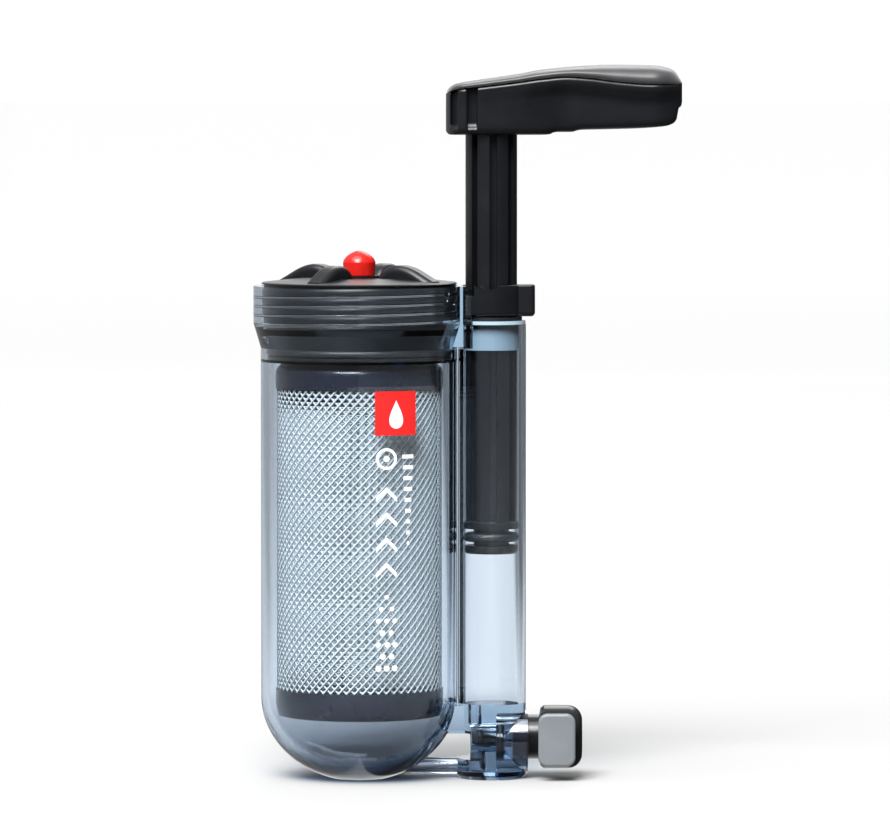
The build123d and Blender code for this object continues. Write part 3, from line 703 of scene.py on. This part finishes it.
def world():
    """White behind the object, soft grey from the left and above, and dark to the right and in front."""
    scene.world = bpy.data.worlds.new("studio")
    scene.world.use_nodes = True
    tree = scene.world.node_tree
    links = tree.links
    coordinates = tree.nodes.new("ShaderNodeTexCoord")
    split = tree.nodes.new("ShaderNodeSeparateXYZ")
    links.new(coordinates.outputs["Generated"], split.inputs[0])

    def ramp(source, *stops):
        node = tree.nodes.new("ShaderNodeMapRange")
        (node.inputs["From Min"].default_value, node.inputs["To Min"].default_value) = stops[0]
        (node.inputs["From Max"].default_value, node.inputs["To Max"].default_value) = stops[1]
        links.new(source, node.inputs["Value"])
        return node.outputs["Result"]

    def value(number):
        node = tree.nodes.new("ShaderNodeValue")
        node.outputs[0].default_value = number
        return node.outputs[0]

    def combine(operation, a, b):
        node = tree.nodes.new("ShaderNodeMath")
        node.operation = operation
        links.new(a, node.inputs[0])
        links.new(b, node.inputs[1])
        return node.outputs[0]

    behind = combine("MAXIMUM", split.outputs["Y"], value(0.02))
    to_right = combine("DIVIDE", split.outputs["X"], behind)
    white = combine("MULTIPLY", ramp(to_right, (0.085, 1.04), (0.12, 0.0)),
                    ramp(to_right, (-0.22, 0.34), (-0.06, 1.0)))
    white = combine("MULTIPLY", white, ramp(split.outputs["Y"], (-0.20, 0.0), (0.10, 1.0)))
    white = combine("MULTIPLY", white, ramp(split.outputs["Z"], (0.25, 1.0), (0.85, 0.30)))
    side = ramp(split.outputs["X"], (-1.0, 0.24), (0.3, 0.04))
    above = ramp(split.outputs["Z"], (0.15, 0.0), (0.9, 0.5))
    light = combine("MAXIMUM", white, combine("ADD", side, above))
    background = tree.nodes["Background"]
    links.new(light, background.inputs["Strength"])
    background.inputs["Color"].default_value = (1.0, 1.0, 1.0, 1.0)


FLOOR_HALF_SIDE = 30.0
FLOOR_Z = -0.02 * MM
EYE_DISTANCE = 2.0
FLOOR_FAR = 5.0
# Floor tones by distance: painted light, paler further off to make up for the lights' falloff
FLOOR_TONES = ((0.0, 0.445), (0.16, 0.545), (0.29, 0.615), (0.38, 0.68), (0.50, 0.80), (0.87, 0.865),
               (1.0, 0.885))


def floor():
    """A matt floor with painted shade: paler further off to make up for the lights' falloff, and painted
    darker at the sides in wedges that fan out from the front camera's place.

    The right side is darker only behind the filter. Mirror reflections leave the floor out.
    """
    mesh = bpy.data.meshes.new("floor")
    corners = [(-1, -1), (1, -1), (1, 1), (-1, 1)]
    mesh.from_pydata([(x * FLOOR_HALF_SIDE, y * FLOOR_HALF_SIDE, FLOOR_Z) for x, y in corners], [],
                     [(0, 1, 2, 3)])
    plane = bpy.data.objects.new("floor", mesh)
    scene.collection.objects.link(plane)
    plane.visible_glossy = False
    g = Graph("floor_painted_shade")
    split = g.add("ShaderNodeSeparateXYZ")
    g.link(g.position(), split.inputs[0])
    # painted shade: darker wedges to the left and, behind the filter, to the right, standing in for dark
    # studio sides
    reach = g.math("MAXIMUM", g.math("ADD", split.outputs["Y"], EYE_DISTANCE), 0.01)
    spread = g.math("DIVIDE", split.outputs["X"], reach)
    beside = g.range(split.outputs["Y"], 1.0, 0.0, 0.1, 0.6)
    right = g.math("MAXIMUM", g.range(spread, 1.0, 0.0, 0.085, 0.13), beside)
    left = g.range(spread, 0.36, 1.0, -0.2, -0.06)
    lit = g.range(g.math("MULTIPLY", right, left), 0.16, 1.0)
    far = g.range(split.outputs["Y"], 0.0, 1.0, 0.0, FLOOR_FAR)
    tone = g.ramp(far, [(place, (value, value, value)) for place, value in FLOOR_TONES])
    shade = g.math("MULTIPLY", lit, tone)
    mesh.materials.append(g.done(g.principled(Base_Color=shade, Roughness=0.8, Specular_IOR_Level=0.1)))


BODY_MIDDLE = Vector((0.0, 0.0, 0.09))


def aim(thing, direction):
    """Turns a light or a camera along a direction and puts it in the scene."""
    thing.rotation_euler = Vector(direction).to_track_quat("-Z", "Y").to_euler()
    scene.collection.objects.link(thing)


def area_light(name, place, side, power):
    """A square soft box, aimed at the middle of the filter's body."""
    data = bpy.data.lights.new(name, "AREA")
    data.shape = "RECTANGLE"
    data.size = side
    data.size_y = side
    data.energy = power
    lamp = bpy.data.objects.new(name, data)
    lamp.location = place
    aim(lamp, BODY_MIDDLE - Vector(place))


def sun_light(name, direction, strength, angle):
    data = bpy.data.lights.new(name, "SUN")
    data.energy = strength
    data.angle = math.radians(angle)
    aim(bpy.data.objects.new(name, data), direction)


EYE_HEIGHT = 0.2085
VIEW_CENTRE = Vector((0.02475, 0.0, 0.1065))
VIEW_WIDTH = 0.2568


def camera():
    """A long lens in front, a little above the handle, that looks slightly down."""
    data = bpy.data.cameras.new("camera")
    data.sensor_width = 36.0
    data.lens = data.sensor_width * EYE_DISTANCE / VIEW_WIDTH
    data.clip_end = 100.0
    eye = bpy.data.objects.new("camera", data)
    eye.location = (VIEW_CENTRE.x, -EYE_DISTANCE, EYE_HEIGHT)
    aim(eye, VIEW_CENTRE - eye.location)
    scene.camera = eye


world()
floor()
sun_light("overhead", (0.25, 0.35, -1.0), 2.4, 50.0)
area_light("key_box", (-0.30, -1.15, 1.45), 0.9, 54.0)
area_light("back_box", (0.30, 1.60, 1.30), 0.9, 8.0)
camera()
scene.view_settings.view_transform = "Standard"
scene.cycles.max_bounces = 20
scene.cycles.transmission_bounces = 16
scene.cycles.transparent_max_bounces = 24
scene.cycles.caustics_reflective = False
scene.cycles.caustics_refractive = False
